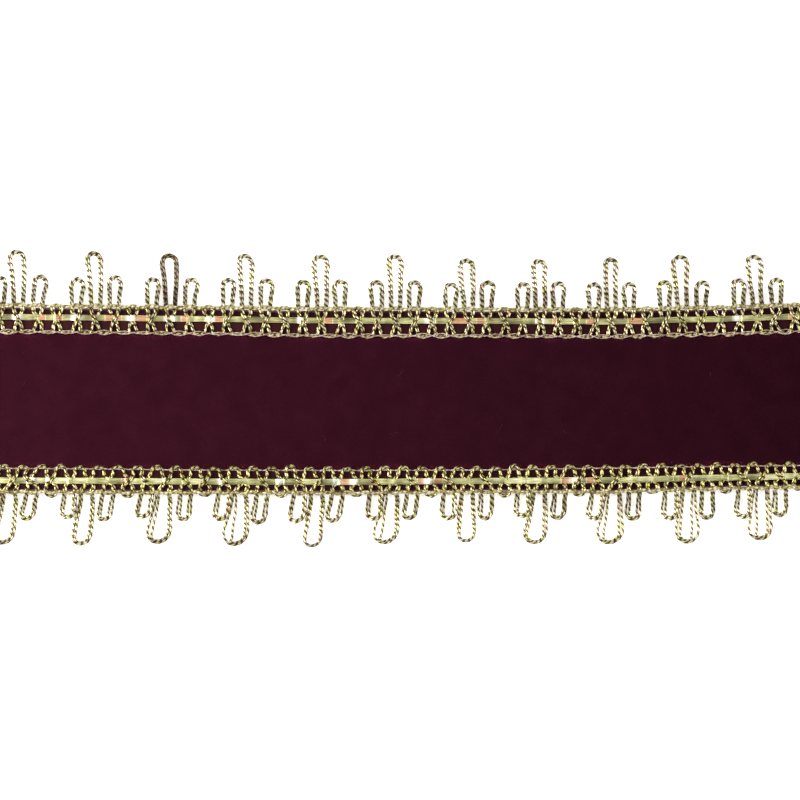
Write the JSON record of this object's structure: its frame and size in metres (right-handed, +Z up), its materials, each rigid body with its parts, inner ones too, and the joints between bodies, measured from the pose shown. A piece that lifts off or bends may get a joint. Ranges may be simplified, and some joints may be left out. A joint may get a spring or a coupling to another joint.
{
  "type": "loop-edged velvet ribbon trim",
  "caption": "Flat cut length of burgundy velvet ribbon, each long edge covered by a gold metallic braid with a flat tape and tall and short standing loops; sewn on as an edging.",
  "frame": {"origin": "middle of the velvet ribbon's underside, on the surface it lies on", "axes": "+X along the ribbon's length, +Y across it towards the far braid, +Z up out of the pile"},
  "size_m": [0.18, 0.0639, 0.0032],
  "materials": {
    "velvet": "burgundy pile velvet, matt with a soft sheen",
    "gilt_cord": "fine twisted metallic gold cord",
    "gilt_tape": "flat metallised film, bright pale gold"
  },
  "bodies": {
    "root": {"velvet_ribbon": "velvet", "far_braid": "gilt_cord", "near_braid": "gilt_cord", "far_tape": "gilt_tape", "near_tape": "gilt_tape"}
  },
  "joints": []
}
